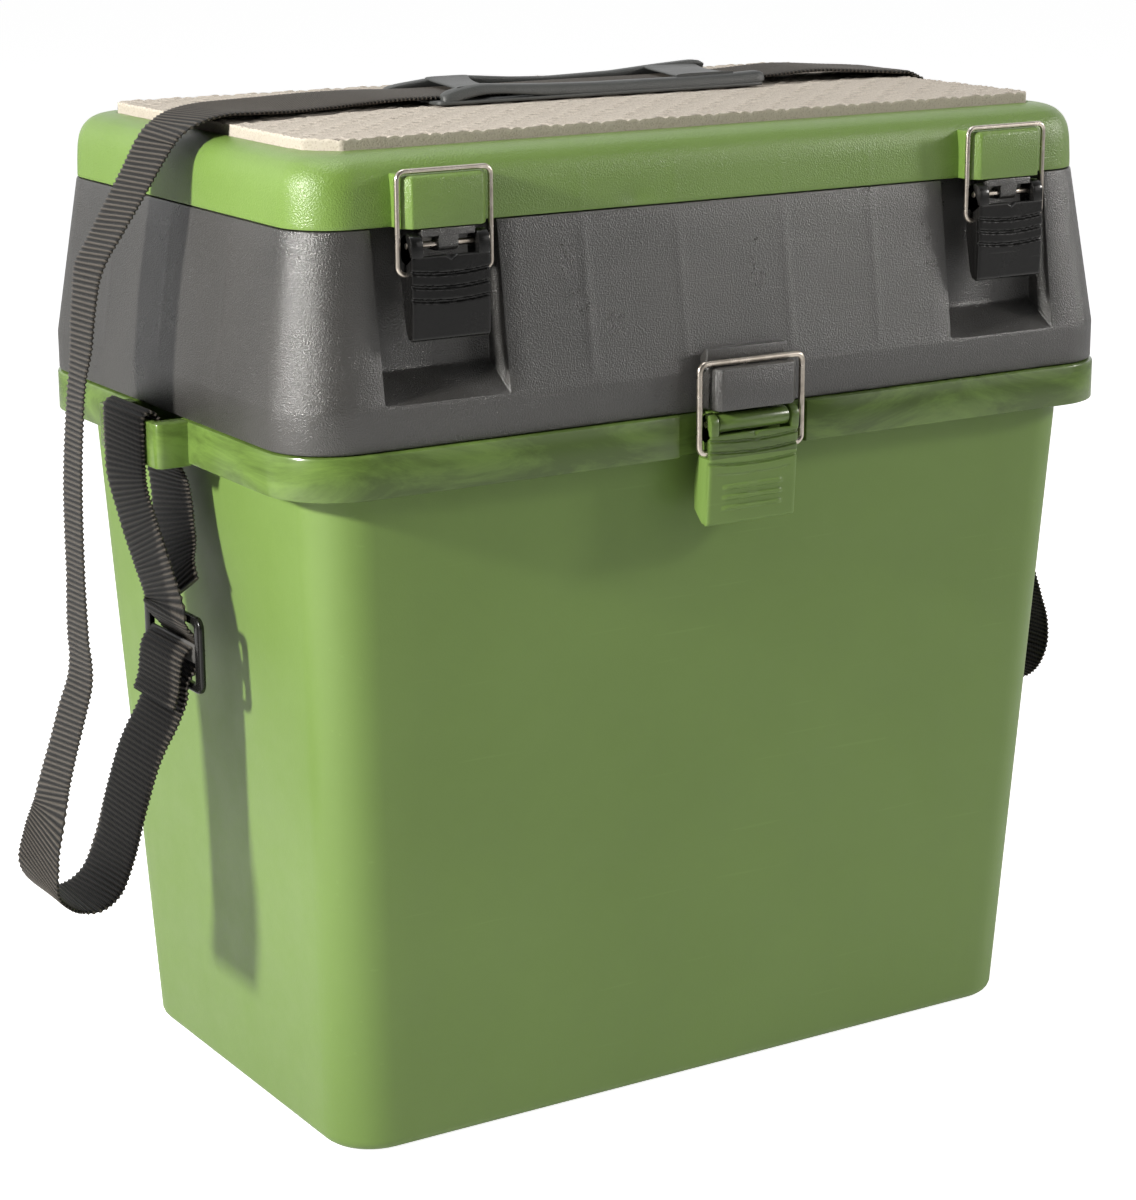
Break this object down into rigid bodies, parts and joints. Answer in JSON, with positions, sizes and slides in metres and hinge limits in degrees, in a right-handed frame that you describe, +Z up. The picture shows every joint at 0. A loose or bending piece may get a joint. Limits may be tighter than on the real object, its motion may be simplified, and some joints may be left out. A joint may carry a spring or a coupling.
{
  "type": "fishing seat box",
  "caption": "Tapered tackle box with a hinged tray case, a hinged padded lid to sit on, toggle latches with wire bails, and a webbing shoulder strap with slides and a rubber pad.",
  "frame": {"origin": "middle of the flat underside of the tub", "axes": "+Z up, front with the latches towards -Y, +X to the right seen from the front"},
  "size_m": [0.5028, 0.2667, 0.4106],
  "materials": {
    "green_plastic": "moulded, fine grain, half gloss",
    "dark_plastic": "moulded, fine leather grain",
    "black_plastic": "moulded, half gloss",
    "seat_foam": "embossed closed-cell foam",
    "steel_wire": "drawn wire, plated",
    "webbing": "woven, ribbed across",
    "pad_rubber": "moulded, fine grain"
  },
  "bodies": {
    "tub": {"tub": "green_plastic", "lower_lever_pin": "steel_wire", "case_hinge_pin_left": "steel_wire", "case_hinge_pin_right": "steel_wire", "strap_left_run": "webbing", "strap_right_run": "webbing", "slide_left": "black_plastic", "slide_right": "black_plastic"},
    "case": {"middle_case": "dark_plastic", "upper_left_lever_pin": "steel_wire", "upper_right_lever_pin": "steel_wire", "lid_hinge_pin_left": "steel_wire", "lid_hinge_pin_right": "steel_wire", "divider_left": "dark_plastic", "divider_right": "dark_plastic", "strap_left_upper": "webbing", "strap_right_upper": "webbing"},
    "lid": {"lid": "green_plastic", "seat_pad": "seat_foam", "strap_top": "webbing", "shoulder_pad": "pad_rubber"},
    "upper_left_lever": {"upper_left_lever": "black_plastic"},
    "upper_left_bail": {"upper_left_bail": "steel_wire"},
    "upper_right_lever": {"upper_right_lever": "black_plastic"},
    "upper_right_bail": {"upper_right_bail": "steel_wire"},
    "lower_lever": {"lower_lever": "green_plastic"},
    "lower_bail": {"lower_bail": "steel_wire"}
  },
  "joints": [
    {"name": "case_hinge", "type": "hinge", "parent": "tub", "child": "case", "pos_m": [0, 0.129, 0.29], "axis": [-1, 0, 0], "range_deg": [0, 95]},
    {"name": "lid_hinge", "type": "hinge", "parent": "case", "child": "lid", "pos_m": [0, 0.1175, 0.371], "axis": [-1, 0, 0], "range_deg": [0, 100]},
    {"name": "upper_left_latch", "type": "hinge", "parent": "case", "child": "upper_left_lever", "pos_m": [-0.1315, -0.1195, 0.365], "axis": [-1, 0, 0], "range_deg": [0, 100]},
    {"name": "upper_left_bail_turn", "type": "hinge", "parent": "upper_left_lever", "child": "upper_left_bail", "pos_m": [-0.1315, -0.119, 0.3545], "axis": [-1, 0, 0], "range_deg": [-100, 0]},
    {"name": "upper_right_latch", "type": "hinge", "parent": "case", "child": "upper_right_lever", "pos_m": [0.1315, -0.1195, 0.365], "axis": [-1, 0, 0], "range_deg": [0, 100]},
    {"name": "upper_right_bail_turn", "type": "hinge", "parent": "upper_right_lever", "child": "upper_right_bail", "pos_m": [0.1315, -0.119, 0.3545], "axis": [-1, 0, 0], "range_deg": [-100, 0]},
    {"name": "lower_latch", "type": "hinge", "parent": "tub", "child": "lower_lever", "pos_m": [0, -0.127, 0.2863], "axis": [-1, 0, 0], "range_deg": [0, 100]},
    {"name": "lower_bail_turn", "type": "hinge", "parent": "lower_lever", "child": "lower_bail", "pos_m": [0, -0.1276, 0.2748], "axis": [-1, 0, 0], "range_deg": [-100, 0]}
  ],
  "couplings": [
    {"joint": "upper_left_bail_turn", "follows": "upper_left_latch", "ratio": -1},
    {"joint": "upper_right_bail_turn", "follows": "upper_right_latch", "ratio": -1},
    {"joint": "lower_bail_turn", "follows": "lower_latch", "ratio": -1}
  ]
}
